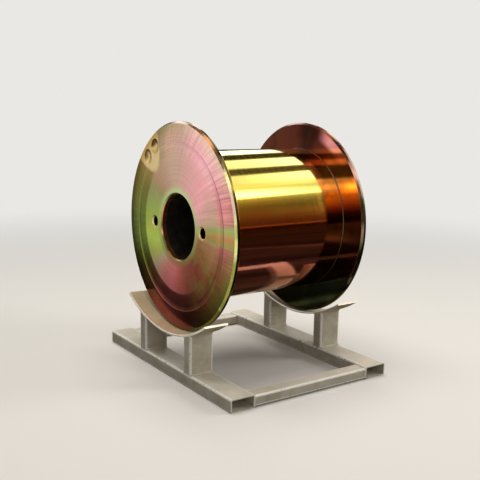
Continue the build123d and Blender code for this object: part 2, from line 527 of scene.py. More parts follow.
def about_the_axis(add):
    """A point's object place, its place across the axis, its distance from it and its turn."""
    place = add("TexCoord").outputs["Object"]
    _, y, z = add("SeparateXYZ", [place]).outputs
    height = add("Math", [z, AXIS_Z], "SUBTRACT")
    flat = add("CombineXYZ", {"Y": y, "Z": height})
    radius = add("VectorMath", [flat], "LENGTH")
    return place, flat, radius, share_of_turn(add, y, height)


def bright_chromate():
    """Yellow chromate over bright zinc on a polished tube: a mirror under a thin film, gold on
    top, and copper to rose underneath where the dip ran off, with faint bands round the tube."""
    material, add = new_material("yellow_chromate_bright")
    place, _, _, turn = about_the_axis(add)
    stains = add("TexNoise", {"Vector": place, "Scale": 9.0, "Detail": 3.0})
    shifted = add("Math", [stains, 0.05, -0.025], "MULTIPLY_ADD")
    where = add("Math", [turn, shifted])
    film = add("ValToRGB", [where], stops=BARREL_FILM)
    # Painted shade: the weld fillet at each end is darkened to a dull brown where the barrel meets the
    # flange
    x, _, _ = add("SeparateXYZ", [place]).outputs
    out = add("Math", [x], "ABSOLUTE")
    weld = add("MapRange", [out, WELD_START - WELD_RIM, WELD_START])
    weld_shaded = add("Mix", {0: weld, 6: film, 7: linear("#664c3c")}, "RGBA")
    # Fine tool marks run round the tube, about 0.3 mm apart, drawn at 2 mm so that they show
    stretched = add("Mapping", {"Vector": place, "Scale": (420.0, 16.0, 16.0)})
    marks = add("TexNoise", {"Vector": stretched, "Scale": 1.0, "Detail": 3.0, "Roughness": 0.6})
    sheen = add("MapRange", [marks, 0.3, 0.7, 0.06, 0.13])
    dulled = add("Math", [weld, 0.3, sheen], "MULTIPLY_ADD")
    return surfaced(material, add, {"Base Color": weld_shaded, "Metallic": 1.0, "Roughness": dulled},
                    marks, 0.06, 0.0006)


inside, weld_rise = BARREL_RADIUS - BARREL_WALL, BARREL_RADIUS + BARREL_WELD
barrel = turned("winding_barrel", eased([
    (inside, -FLANGE_INNER), (weld_rise, -FLANGE_INNER), (BARREL_RADIUS, -WELD_START),
    (BARREL_RADIUS, WELD_START), (weld_rise, FLANGE_INNER), (inside, FLANGE_INNER)]),
    BARREL_SEGMENTS, bright_chromate())
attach(barrel, "root")
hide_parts("barrel_tube")


# Flanges: two round plates turned all over from 12 mm steel, each with a chamfered bore, a ring
# groove and two chamfered drive holes. The left one was balanced with two shallow ball-cut dishes.
# They are plated as the barrel is, and the film dried unevenly over their turned faces; their colours also
# hold painted highlights, reflections and shade.
FLANGE_RADIUS = 0.200
FLANGE_OUTER = 0.153
FLANGE_CHAMFER = 0.0036
BORE_RADIUS = 0.0635
BORE_CHAMFER = 0.0024
GROOVE = ((0.1520, 0.0), (0.1550, 0.0004), (0.1600, 0.0004), (0.1630, 0.0))
DRIVE_HOLE_Y = 0.090
DRIVE_HOLE_RADIUS = 0.010
DRIVE_HOLE_CHAMFER = 0.0025
FEED_STEP = 0.1265
POCKET_CIRCLE = 0.1745
POCKET_RADIUS = 0.015
POCKET_DEPTH = 0.004
POCKET_ANGLES = (47.0, 59.0)
FLANGE_SEGMENTS = 512

# Film colours of the outer faces, by angle in degrees from the near side up and over: the middle, the
# margin outside it, and what the margin turns to at the rim. They are partly the film's own colour and
# partly painted reflection, darker where a face would mirror dark surroundings; the lime green on the far
# side of the middle is a painted highlight.
MIDDLE_FILM_AND_REFLECTION = (
    (-180, "#b1c057"), (-162, "#c6dc66"), (-145, "#c2cc6c"), (-131, "#d2bc9c"), (-115, "#e49a8e"),
    (-96, "#ea868a"), (-84, "#c46c62"), (-70, "#9c5648"), (-45, "#864636"), (-22, "#966640"),
    (-6, "#b48e66"), (6, "#beaa84"), (18, "#dcaca0"), (36, "#f6b0b2"), (62, "#e4aca8"), (80, "#d6ac9e"),
    (96, "#ceb098"), (112, "#c2a08a"), (128, "#b89878"), (142, "#a49a6c"), (153, "#a0a66a"),
    (168, "#a4b85c"), (180, "#b1c057"))
MARGIN_FILM_AND_REFLECTION = (
    (-180, "#667238"), (-160, "#6e803a"), (-145, "#706c30"), (-130, "#8e6a44"), (-115, "#b46860"),
    (-98, "#a05c54"), (-75, "#764438"), (-52, "#8a5240"), (-38, "#825838"), (-22, "#8a5a3e"),
    (-9, "#ac6a60"), (8, "#c8887e"), (20, "#d08888"), (32, "#e09c9e"), (50, "#f2b8bc"), (68, "#eeb0b4"),
    (84, "#d2aaa2"), (98, "#cca892"), (114, "#aa9478"), (135, "#988050"), (155, "#74703a"),
    (180, "#667238"))
RIM_FILM_AND_REFLECTION = (
    (-180, "#423e1e"), (-160, "#58562c"), (-145, "#544a24"), (-130, "#7a5a3c"), (-115, "#b87068"),
    (-98, "#a86458"), (-75, "#7c4c3c"), (-56, "#7c6a40"), (-40, "#7c8440"), (-24, "#887e40"),
    (-9, "#a47a58"), (8, "#b4806c"), (20, "#c87c76"), (34, "#dcb09c"), (50, "#e8c8b0"), (68, "#ecc4b4"),
    (84, "#ccb096"), (98, "#b09c78"), (114, "#8c7e50"), (135, "#846834"), (155, "#5c4e24"),
    (180, "#423e1e"))
# Painted highlight: a radial streak from the near drive hole out to the rim, green at its edges and orange
# inside
RADIAL_HIGHLIGHT_FILM = (
    (-5.6, "#849848", 0.0), (-4.6, "#849848", 1.0), (-2.6, "#a49048", 0.9), (-0.5, "#b0824a", 0.8),
    (2.4, "#b29a58", 0.8), (4.6, "#90a65a", 1.0), (6.4, "#a0aa66", 0.9), (8.0, "#a8a472", 0.0))
# Olive mottles low on the near side, where the film dried in drops
MOTTLE_FILM = ((-78, "#7c743a", 0.0), (-60, "#7c743a", 0.55), (-24, "#868044", 0.55), (-12, "#868044", 0.0))
DRAIN_ANGLE = 128.0
# The film keeps its colour at a slant, where bare zinc would turn white
SLANTED_SHINE = (0.5, 0.5, 0.5, 1.0)


def by_turn(films):
    """A table of films by angle as ramp stops by share of a turn."""
    return [((angle + 180) / 360, *film) for angle, *film in films]


def face_chromate(name, film_turn, drained):
    """Yellow chromate on a turned face: satin with fine rings as far as a step in the tool's feed, brighter
    and rayed outside it, under a film that is green, rose or brown, partly by its thickness and partly as
    painted reflection. The light and dark of its rays and groove and its radial streak are painted
    highlight and shade."""
    material, add = new_material(name)
    _, flat, radius, turn = about_the_axis(add)
    # Rays: streaks that run outwards and lean together towards the near side
    inset = add("Math", [FLANGE_RADIUS, radius], "SUBTRACT")
    unit = add("VectorMath", [flat], "NORMALIZE")
    _, away, up = add("SeparateXYZ", [unit]).outputs
    lean = add("Math", [inset, up], "MULTIPLY")
    lean_angle = add("Math", [lean, 2.4], "MULTIPLY")
    leaning = add("VectorRotate", {"Vector": unit, "Angle": lean_angle}, rotation_type="X_AXIS")
    outward = add("CombineXYZ", {"X": radius})
    short = add("VectorMath", {0: outward, "Scale": 0.25}, "SCALE")
    rays_at = add("VectorMath", [leaning, short], "ADD")
    broad_rays = add("TexNoise", {"Vector": rays_at, "Scale": 19.0, "Detail": 2.0, "Roughness": 0.55})
    fine_rays = add("TexNoise", {"Vector": rays_at, "Scale": 60.0, "Detail": 1.0, "Roughness": 0.5})
    # Rings: the lathe's feed marks, about 0.2 mm apart, drawn 2 mm apart so that they show
    rings = add("TexNoise", {"Vector": outward, "Scale": 330.0, "Detail": 3.0, "Roughness": 0.75})
    # The margin: 1 outside the step, 0 in the middle and in the groove. The step is sharp at the
    # lower left, and fades out at the upper right
    upper_near = add("VectorMath", [unit, (0.0, -0.64, 0.77)], "DOT_PRODUCT")
    fade_width = add("MapRange", [upper_near, -0.1, 0.6, 0.006, 0.034])
    step_end = add("Math", [fade_width, FEED_STEP])
    beyond = add("MapRange", [radius, FEED_STEP, step_end], "SMOOTHSTEP")
    from_groove = add("Math", [radius, (GROOVE[0][0] + GROOVE[3][0]) / 2], "SUBTRACT")
    aside = add("Math", [from_groove], "ABSOLUTE")
    ungrooved = add("MapRange", [aside, 0.0045, 0.0060])
    margin = add("Math", [beyond, ungrooved], "MULTIPLY")
    # The film's edges wander by a few degrees, and by a little in each ray
    wander = add("TexNoise", {"Vector": flat, "Scale": 14.0, "Detail": 4.0, "Roughness": 0.55})
    wandered = add("Math", [wander, 0.05, film_turn - 0.035], "MULTIPLY_ADD")
    drift = add("Math", [broad_rays, 0.02, wandered], "MULTIPLY_ADD")
    # In the middle the films ran down as they dried, so their edges lean as they go outwards
    within = add("Math", [radius, FEED_STEP], "MINIMUM")
    outwards = add("Math", [within, 0.1], "SUBTRACT")
    farther = add("Math", [outwards, away], "MULTIPLY")
    stretch = add("Math", [farther, 12.0, 1.0], "MULTIPLY_ADD")
    raised = add("Math", [up, stretch], "MULTIPLY")
    leaned = share_of_turn(add, away, raised)
    films = []
    for place_round, table in ((leaned, MIDDLE_FILM_AND_REFLECTION), (turn, MARGIN_FILM_AND_REFLECTION), (turn, RIM_FILM_AND_REFLECTION)):
        where = add("Math", [place_round, drift])
        wrapped = add("Math", [where], "FRACT")
        films.append(add("ValToRGB", [wrapped], stops=by_turn(table)))
    middle_colour, margin_colour, rim_colour = films
    at_rim = add("MapRange", [radius, 0.168, 0.196], "SMOOTHSTEP")
    rimmed = add("Mix", {0: at_rim, 6: margin_colour, 7: rim_colour}, "RGBA")
    film = add("Mix", {0: beyond, 6: middle_colour, 7: rimmed}, "RGBA")
    # Painted highlight and shade in the rays, most of all in the margin and on the near side; light and
    # dark in the rings in the middle
    ray_sum = add("Math", [broad_rays, fine_rays])
    strong = add("MapRange", {0: margin, 3: 0.18, 4: 0.46})
    ray_tone = add("Math", [ray_sum, -1.0])
    near_side = add("MapRange", [away, -0.3, -0.85, 1.0, 1.7])
    stronger = add("Math", [strong, near_side], "MULTIPLY")
    ray_shade = add("Math", [ray_tone, stronger, 1.0], "MULTIPLY_ADD")
    least = add("MapRange", {0: beyond, 3: 0.74, 4: 0.86})
    most = add("MapRange", {0: beyond, 3: 1.18, 4: 1.09})
    ringed = add("MapRange", [rings, 0.3, 0.7, least, most])
    # Painted light and shade in the groove: lighter on the far side and darker low down
    far_side = add("MapRange", [away, -0.2, 1.0, 0.0, 0.35])
    in_groove = add("Math", [beyond, margin], "SUBTRACT")
    low_down = add("MapRange", [up, -0.5, -0.9, 0.0, -0.34])
    groove_gain = add("Math", [far_side, low_down])
    groove_tone = add("Math", [groove_gain, in_groove, 1.0], "MULTIPLY_ADD")
    plain_tone = add("Math", [ray_shade, ringed], "MULTIPLY")
    tone = add("Math", [plain_tone, groove_tone], "MULTIPLY")
    toned = add("VectorMath", [film, tone], "MULTIPLY")
    drops = add("TexNoise", {"Vector": flat, "Scale": 34.0, "Detail": 4.0, "Roughness": 0.65})
    dried = add("MapRange", [drops, 0.46, 0.60])
    mottles = add("ValToRGB", [turn], stops=by_turn(MOTTLE_FILM))
    mottled_share = add("Math", [mottles.outputs["Alpha"], dried], "MULTIPLY")
    mottled = add("Mix", {0: mottled_share, 6: toned, 7: mottles}, "RGBA")
    # A greener ring round the bore, pale green at the top and darker olive below
    about_bore = add("MapRange", [radius, 0.082, 0.068, 0.0, 0.7], "SMOOTHSTEP")
    higher = add("MapRange", [up, -0.9, 0.9])
    bore_ring = add("Mix", {0: higher, 6: linear("#86864a"), 7: linear("#bcdc98")}, "RGBA")
    greened = add("Mix", {0: about_bore, 6: mottled, 7: bore_ring}, "RGBA")
    # Painted highlight: the radial streak from the near drive hole
    radial_highlight = add("ValToRGB", [turn], stops=by_turn(RADIAL_HIGHLIGHT_FILM))
    past_hole = add("MapRange", [radius, 0.098, 0.108, 0.0, 0.95])
    radial_highlight_share = add("Math", [radial_highlight.outputs["Alpha"], past_hole], "MULTIPLY")
    colour = add("Mix", {0: radial_highlight_share, 6: greened, 7: radial_highlight}, "RGBA")
    if drained:
        # Film drained off the dishes and dried as a tan tongue round them
        aligned = add("VectorRotate", {"Vector": flat, "Angle": math.radians(DRAIN_ANGLE)},
                      rotation_type="X_AXIS")
        _, along, beside = add("SeparateXYZ", [aligned]).outputs
        bowed = add("Math", [beside, beside], "MULTIPLY")
        tip = add("Math", [bowed, 28.0, along], "MULTIPLY_ADD")
        ragged = add("Math", [fine_rays, 0.008, tip], "MULTIPLY_ADD")
        tongue = add("MapRange", [ragged, -0.120, -0.134, 0.0, 0.85], "SMOOTHSTEP")
        tan = add("Mix", {0: at_rim, 6: linear("#dcc690"), 7: linear("#ba9c58")}, "RGBA")
        colour = add("Mix", {0: tongue, 6: colour, 7: tan}, "RGBA")
    sheen_middle = add("MapRange", [rings, 0.3, 0.7, 0.30, 0.38])
    sheen = add("MapRange", {0: margin, 3: sheen_middle, 4: 0.16})
    # The grain runs round the bore: the tangent is at right angles to the radius
    grain = add("VectorMath", [flat, (1.0, 0.0, 0.0)], "CROSS_PRODUCT")
    return surfaced(material, add, {
        "Base Color": colour, "Metallic": 1.0, "Roughness": sheen, "Specular Tint": SLANTED_SHINE,
        "Anisotropic": 0.5, "Tangent": grain}, rings, 0.10, 0.0004)


def back_chromate():
    """The same plating on the faces towards the barrel: finer turning, nearly a mirror, and a thick film
    that is maroon to brown, rose in one patch near the top. Its darkness is partly the film's own and
    partly painted shade for the dark surroundings it would mirror, and the rose patch is a painted
    reflection."""
    material, add = new_material("yellow_chromate_maroon")
    _, flat, radius, turn = about_the_axis(add)
    clouds = add("TexNoise", {"Vector": flat, "Scale": 10.0, "Detail": 4.0, "Roughness": 0.55})
    offset = add("Math", [clouds, 0.035, -0.0175], "MULTIPLY_ADD")
    where = add("Math", [turn, offset])
    film = add("ValToRGB", [where], stops=(
        (0.00, "#6a3c2a"), (0.20, "#463e28"), (0.28, "#384024"), (0.34, "#3c4830"), (0.38, "#505a3e"),
        (0.45, "#5c4a34"), (0.475, "#302a1e"), (0.495, "#241e16"), (0.514, "#403026"),
        (0.53, "#744a38"), (0.541, "#c85c3a"), (0.555, "#c86c48"), (0.567, "#d87c38"),
        (0.575, "#c86c30"), (0.583, "#a45c40"), (0.592, "#925c46"), (0.640, "#84523e"),
        (0.660, "#642c1c"), (0.690, "#4c2418"), (0.71, "#341a12"), (0.735, "#361e16"),
        (0.755, "#4e261c"), (0.88, "#54301f"), (1.00, "#6a3c2a")))
    # Near-black clouds where the film is thickest
    thick = add("MapRange", [clouds, 0.40, 0.56, 1.15, 0.70], "SMOOTHSTEP")
    clouded = add("VectorMath", [film, thick], "MULTIPLY")
    # Painted reflection: the rose patch, only near the rim
    rose_reflection = add("ValToRGB", [where], stops=(
        (0.612, "#c08068", 0.0), (0.630, "#c47c70", 0.7), (0.645, "#cc7c78", 0.95),
        (0.667, "#e89694", 0.95), (0.682, "#b46c70", 0.9), (0.698, "#a06064", 0.0)))
    near_rim = add("MapRange", [radius, 0.170, 0.186], "SMOOTHSTEP")
    rose_reflection_share = add("Math", [rose_reflection.outputs["Alpha"], near_rim], "MULTIPLY")
    rose_reflected = add("Mix", {0: rose_reflection_share, 6: clouded, 7: rose_reflection}, "RGBA")
    ring_place = add("CombineXYZ", {"X": radius})
    rings = add("TexNoise", {"Vector": ring_place, "Scale": 500.0, "Detail": 2.0})
    sheen = add("MapRange", [rings, 0.3, 0.7, 0.07, 0.12])
    return surfaced(material, add, {
        "Base Color": rose_reflected, "Metallic": 1.0, "Roughness": sheen,
        "Specular Tint": SLANTED_SHINE}, rings, 0.05, 0.0004)


def edge_chromate(name, colours, sheens, rise=0.0, spread=0.0):
    """The same plating on rims, chamfers, dishes and hole walls, with cloudy patches. The colour changes
    from the first to the last upwards, by rise, which paints shade low down on rims and chamfers, and
    outwards, by spread per metre, which paints the shading across the dishes."""
    material, add = new_material(name)
    place, flat, radius, _ = about_the_axis(add)
    clouds = add("TexNoise", {"Vector": place, "Scale": 22.0, "Detail": 3.0})
    _, _, height = add("SeparateXYZ", [flat]).outputs
    upwards = add("Math", [height, rise, clouds], "MULTIPLY_ADD")
    outwards = add("Math", [radius, POCKET_CIRCLE], "SUBTRACT")
    share = add("Math", [outwards, spread, upwards], "MULTIPLY_ADD")
    film = add("ValToRGB", [share], stops=list(zip((0.35, 0.50, 0.65), colours)))
    fine = add("TexNoise", {"Vector": place, "Scale": 160.0, "Detail": 2.0})
    sheen = add("MapRange", [fine, 0.3, 0.7, sheens[0], sheens[1]])
    return surfaced(material, add, {"Base Color": film, "Metallic": 1.0, "Roughness": sheen},
                    fine, 0.1, 0.0004)


def flange_outline(side):
    """The flange's section as (radius, place on the axis), its outer face at side * FLANGE_OUTER."""
    depths = [(BORE_RADIUS, BORE_CHAMFER), (BORE_RADIUS + BORE_CHAMFER, 0.0), *GROOVE,
              (FLANGE_RADIUS - FLANGE_CHAMFER, 0.0), (FLANGE_RADIUS, FLANGE_CHAMFER)]
    thickness = FLANGE_OUTER - FLANGE_INNER
    depths += [(FLANGE_RADIUS, thickness - FLANGE_CHAMFER), (FLANGE_RADIUS - FLANGE_CHAMFER, thickness),
               (BORE_RADIUS, thickness)]
    outline = [(r, side * (FLANGE_OUTER - depth)) for r, depth in depths]
    return outline if side < 0 else outline[::-1]


# The cutters stand out of the plate by a little
OVERCUT = 0.002
CUTTER_SEGMENTS = 96
BALL_STEPS = 16


def drill(side, hand):
    """The turned plug that a boolean takes out of a flange for one chamfered drive hole."""
    mouth, end = FLANGE_OUTER + OVERCUT, FLANGE_INNER - OVERCUT
    wide = DRIVE_HOLE_RADIUS + DRIVE_HOLE_CHAMFER + OVERCUT
    outline = [(0.0, mouth), (wide, mouth), (DRIVE_HOLE_RADIUS, FLANGE_OUTER - DRIVE_HOLE_CHAMFER),
               (DRIVE_HOLE_RADIUS, end), (0.0, end)]
    return turned("drill", [(r, side * x) for r, x in outline], CUTTER_SEGMENTS, None,
                  (0.0, hand * DRIVE_HOLE_Y, AXIS_Z))


def pocket_centre(angle):
    """Where the middle of a dish is, seen along the axis."""
    angle = math.radians(angle)
    return Vector((0.0, POCKET_CIRCLE * math.cos(angle), AXIS_Z + POCKET_CIRCLE * math.sin(angle)))


def ball(side, angle):
    """The part of a ball-ended mill that cuts one dish."""
    ball_radius = (POCKET_RADIUS ** 2 + POCKET_DEPTH ** 2) / (2 * POCKET_DEPTH)
    middle = FLANGE_OUTER - POCKET_DEPTH + ball_radius
    mouth = FLANGE_OUTER + OVERCUT
    outline = [(0.0, mouth)]
    for step in range(BALL_STEPS + 1):
        x = mouth + (middle - ball_radius - mouth) * step / BALL_STEPS
        outline.append((math.sqrt(max(ball_radius ** 2 - (middle - x) ** 2, 0.0)), x))
    return turned("ball", [(r, side * x) for r, x in outline], CUTTER_SEGMENTS, None, pocket_centre(angle))


def cut(piece, plugs):
    """Take the plugs out of the piece and throw them away."""
    for plug in plugs:
        take = piece.modifiers.new("take", "BOOLEAN")
        take.operation = "DIFFERENCE"
        take.solver = "EXACT"
        take.object = plug
    graph = bpy.context.evaluated_depsgraph_get()
    done = bpy.data.meshes.new_from_object(piece.evaluated_get(graph), depsgraph=graph)
    piece.modifiers.clear()
    piece.data = done
    for plug in plugs:
        bpy.data.objects.remove(plug)


# How far a face looks along the axis: an inner face less, an outer face more than a chamfer, and
# a wall hardly. A dish's faces lie deeper than the plate's.
INNER_LOOK = -0.97
OUTER_LOOK = 0.95
WALL_LOOK = 0.3
LEAST_DEPTH = 1e-5
# The films of a flange, in the order of its material slots
(RIM_CHAMFER, OUTER_FACE, INNER_FACE, HOLE_WALL, DISH, HOLE_CHAMFER, RIM, BORE_WALL, BORE_MOUTH) = range(9)


def film_on(face, side, pockets):
    """Which film a face of the flange has, by its place and by the way that it looks."""
    middle = Vector((0.0, face.center.y, face.center.z))
    across = (middle - Vector((0.0, 0.0, AXIS_Z))).length
    outward = face.normal.x * side
    depth = FLANGE_OUTER - abs(face.center.x)
    if outward < INNER_LOOK:
        return INNER_FACE
    if across > FLANGE_RADIUS - FLANGE_CHAMFER:
        return RIM if abs(outward) < WALL_LOOK else RIM_CHAMFER
    if across < BORE_RADIUS + BORE_CHAMFER:
        return BORE_WALL if outward < WALL_LOOK else BORE_MOUTH
    for angle in pockets:
        if depth > LEAST_DEPTH and (middle - pocket_centre(angle)).length < POCKET_RADIUS:
            return DISH
    for hand in (-1, 1):
        hole = Vector((0.0, hand * DRIVE_HOLE_Y, AXIS_Z))
        if outward < OUTER_LOOK and (middle - hole).length < DRIVE_HOLE_RADIUS + DRIVE_HOLE_CHAMFER:
            return HOLE_WALL if outward < WALL_LOOK else HOLE_CHAMFER
    return OUTER_FACE


# Each edge film's colours, lowest first, its least and most roughness, its rise and its spread
EDGE_FILMS = {
    # Painted shade: the first film darkens the walls of the drive holes
    "hole_shade": (("#3a2a1c", "#4a3624", "#5c4428"), (0.30, 0.40), 0.0, 0.0),
    # Painted shading across the dishes: darkest brown at their outer ends
    "gold": (("#a08044", "#ccb078", "#6a4a24"), (0.32, 0.40), 0.0, 13.0),
    "satin": (("#b4a874", "#c0b482", "#c8bc90"), (0.36, 0.42), 0.0, 0.0),
    "copper": (("#d08a54", "#e8a070", "#f0b088"), (0.30, 0.36), 0.0, 0.0),
    "ring": (("#5e5c2c", "#dc9c70", "#b4c488"), (0.28, 0.36), 3.0, 0.0),
    "straw": (("#8e9048", "#dcd89c", "#c4b4a0"), (0.12, 0.20), 1.2, 0.0),
    "olive": (("#5c5224", "#706630", "#867c48"), (0.12, 0.20), 0.0, 0.0),
    "rose": (("#44482c", "#806c5e", "#7c5c56"), (0.12, 0.20), 1.2, 0.0),
    "pale": (("#444828", "#8c8468", "#b09c8c"), (0.12, 0.20), 1.2, 0.0)}
maroon = back_chromate()
edge = {name: edge_chromate("yellow_chromate_" + name, *film) for name, film in EDGE_FILMS.items()}
for end, side, pockets, film_turn, chamfer, rim in (
        ("left", -1, POCKET_ANGLES, 0.0, "straw", "olive"), ("right", 1, (), 0.4, "rose", "pale")):
    face_film = face_chromate("yellow_chromate_turned_" + end, film_turn, bool(pockets))
    plate = turned("round_flange_" + end, eased(flange_outline(side)), FLANGE_SEGMENTS, edge[chamfer])
    cut(plate, [drill(side, hand) for hand in (-1, 1)] + [ball(side, angle) for angle in pockets])
    plate.data.materials.clear()
    for film in (edge[chamfer], face_film, maroon, edge["hole_shade"], edge["gold"], edge["satin"],
                 edge[rim], edge["copper"], edge["ring"]):
        plate.data.materials.append(film)
    for face in plate.data.polygons:
        face.material_index = film_on(face, side, pockets)
    plate.data.shade_smooth()
    plate.data.set_sharp_from_angle(angle=SHARP_TURNED_EDGE)
    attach(plate, "root")
    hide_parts("flange_" + end)


# Camera: the photograph's angle, a little above the drum's axis and to the left of it.
def look_from(place, yaw, pitch, roll, lens):
    """A camera at this place, turned right of +Y, down and clockwise by degrees."""
    yaw, pitch, roll = math.radians(yaw), math.radians(pitch), math.radians(roll)
    ahead = Vector((math.sin(yaw) * math.cos(pitch), math.cos(yaw) * math.cos(pitch), -math.sin(pitch)))
    right = Vector((math.cos(yaw), -math.sin(yaw), 0.0))
    above = right.cross(ahead)
    tilted_right = math.cos(roll) * right + math.sin(roll) * above
    tilted_up = math.cos(roll) * above - math.sin(roll) * right
    camera = placed("camera", bpy.data.cameras.new("camera"))
    camera.data.lens = lens
    camera.data.sensor_width = 36.0
    camera.data.sensor_fit = "HORIZONTAL"
    camera.data.clip_start = 0.01
    camera.data.clip_end = 100.0
    turned_to = Matrix((tilted_right, tilted_up, -ahead)).transposed().to_4x4()
    camera.matrix_world = Matrix.Translation(place) @ turned_to
    bpy.context.scene.camera = camera


look_from((-0.8412, -1.2068, 0.5017), 34.678, 9.734, 1.054, 54.88)


# Floor and room: a plain pale floor that runs out to a pale backdrop. Only what the camera, gloss
# or glass looks at shows it at full paleness, so that it throws little light up under the drum.
BACKDROP = linear("#e9e8e5")
FLOOR_NEAR = 0.5
FLOOR_FAR = 2.6
ROOM_LIGHT = 0.28


def seen_rays(add):
    """1 for rays from the camera, a glossy surface or glass, and 0 for the rest."""
    rays = add("LightPath").outputs
    direct = add("Math", [rays["Is Camera Ray"], rays["Is Glossy Ray"]], "MAXIMUM")
    return add("Math", [direct, rays["Is Transmission Ray"]], "MAXIMUM")


def floor_paint():
    """Matt pale floor paint that fades into the backdrop with distance."""
    material, add = new_material("floor_paint")
    place = add("TexCoord").outputs["Object"]
    seen = seen_rays(add)
    tone = add("Mix", {0: seen, 6: linear("#9a9894"), 7: linear("#e9e7e3")}, "RGBA")
    matt = add("BsdfDiffuse", [tone])
    glow = add("Emission", [BACKDROP, 1.0])
    distance = add("VectorMath", [place], "LENGTH")
    fade = add("MapRange", [distance, FLOOR_NEAR, FLOOR_FAR], "SMOOTHSTEP")
    far = add("Math", [fade, seen], "MULTIPLY")
    mixed = add("MixShader", [far, matt, glow])
    add("OutputMaterial", [mixed])
    return material


def flat_sheet(name, reach, height, material):
    """A level square sheet that reaches this far from the middle."""
    mesh = bpy.data.meshes.new(name)
    corners = ((-reach, -reach), (reach, -reach), (reach, reach), (-reach, reach))
    mesh.from_pydata([(x, y, height) for x, y in corners], [], [(0, 1, 2, 3)])
    mesh.materials.append(material)
    sheet = placed(name, mesh)
    return sheet


flat_sheet("floor", 40.0, 0.0, floor_paint())

world = bpy.data.worlds.new("room")
bpy.context.scene.world = world
world.use_nodes = True
world.node_tree.nodes.clear()
add_sky = functools.partial(add_node, world.node_tree)
level = add_sky("MapRange", {0: seen_rays(add_sky), 3: ROOM_LIGHT, 4: 1.0})
sky = add_sky("Background", [BACKDROP, level])
add_sky("OutputWorld", [sky])


# Light tent: what the polished metal mirrors, and nothing else sees. A dome over the drum has
# bright strips and warm dark gaps that run along the axis, and a dark sheet lies on the floor.
TENT_RADIUS = 4.0
DARK_SHEET_Z = 0.0004
STRIP_LEVEL = 5.0
# Degrees from the near horizon up and over to the far one, colour, and share of STRIP_LEVEL over
# the drum and well to the right of it
STRIPS = (
    (0, "#3a1c10", 0.08, 0.08), (0.7, "#cc8c60", 0.14, 0.14), (1.3, "#cc8c60", 0.14, 0.14),
    (2, "#6f544c", 0.08, 0.08), (10, "#856553", 0.095, 0.095), (20, "#a78b75", 0.09, 0.095),
    (30, "#9c8e79", 0.10, 0.065), (38, "#c0b088", 0.125, 0.09), (43.8, "#d4d09c", 0.15, 0.13),
    (46.2, "#ffffff", 1.0, 0.40), (51.5, "#fffcf0", 0.95, 0.28), (55.5, "#fffcf0", 0.60, 0.18),
    (58.5, "#fff8d8", 0.22, 0.15), (60.5, "#fff4c8", 0.20, 0.17), (63, "#fff8d8", 0.21, 0.24),
    (66.5, "#fff4c8", 0.19, 0.24), (69, "#fff8e0", 0.20, 0.40), (83, "#fff4e0", 0.20, 0.46),
    (85.8, "#a08460", 0.045, 0.045), (96.5, "#a08460", 0.045, 0.045), (99.3, "#fff6e4", 0.22, 0.44),
    (118.3, "#fff6e4", 0.30, 0.40), (121, "#907c40", 0.03, 0.03), (136, "#907c40", 0.028, 0.03),
    (139.5, "#ffffff", 0.62, 0.22), (156, "#ffffff", 0.6, 0.2), (160.5, "#907860", 0.06, 0.06),
    (180, "#907860", 0.05, 0.05))
# The same to the left of the drum, which the right flange mirrors
LEFT_STRIPS = (
    (0, "#3a1c10", 0.08), (2, "#6a3c26", 0.06), (10, "#806450", 0.08), (20, "#b0a8a0", 0.13),
    (27, "#b0a8a0", 0.22), (36, "#c8b8a0", 0.22), (41, "#d0be98", 0.22), (44, "#f0d8b0", 0.34),
    (46, "#fff0d8", 0.42), (50, "#ffffff", 0.55), (53, "#ffffff", 0.95), (59, "#fffcf0", 0.95),
    (61.5, "#fffcf0", 0.5), (69, "#fffcf0", 0.5), (72, "#a08868", 0.09), (99, "#a08868", 0.10),
    (101.5, "#ffbc8c", 0.40), (113, "#ffbc8c", 0.40), (117, "#a06c50", 0.20), (134, "#a06c50", 0.17),
    (138, "#ffffff", 0.33), (163, "#ffffff", 0.33), (167, "#f4f0ec", 0.235), (180, "#f4f0ec", 0.225))
# The same far to the left, which the left flange's chamfer shows as a cream line
LEFT_END_STRIPS = (
    (0, "#fffaec", 0.20), (23, "#fff8f0", 0.24), (48, "#fff4f0", 0.29), (60, "#fff0f0", 0.29),
    (70, "#fff8f0", 0.24), (180, "#f4f0ec", 0.225))
# The same far to the right, which the right flange's rim shows as a pale line
RIGHT_END_STRIPS = (
    (0, "#ffe8e0", 0.03), (8, "#ffe8e0", 0.12), (20, "#ffe8d4", 0.38), (31, "#ffe8d4", 0.5),
    (58, "#fff8f4", 0.42), (73, "#ffe8e4", 0.32), (86, "#ffc8bc", 0.14), (94, "#ffa090", 0.08),
    (104, "#ffb49e", 0.21), (116, "#ffc8b8", 0.38), (125, "#ffdccc", 0.40), (135, "#ffe8c8", 0.27),
    (165, "#ffe4d0", 0.32), (180, "#ffe4d0", 0.2))


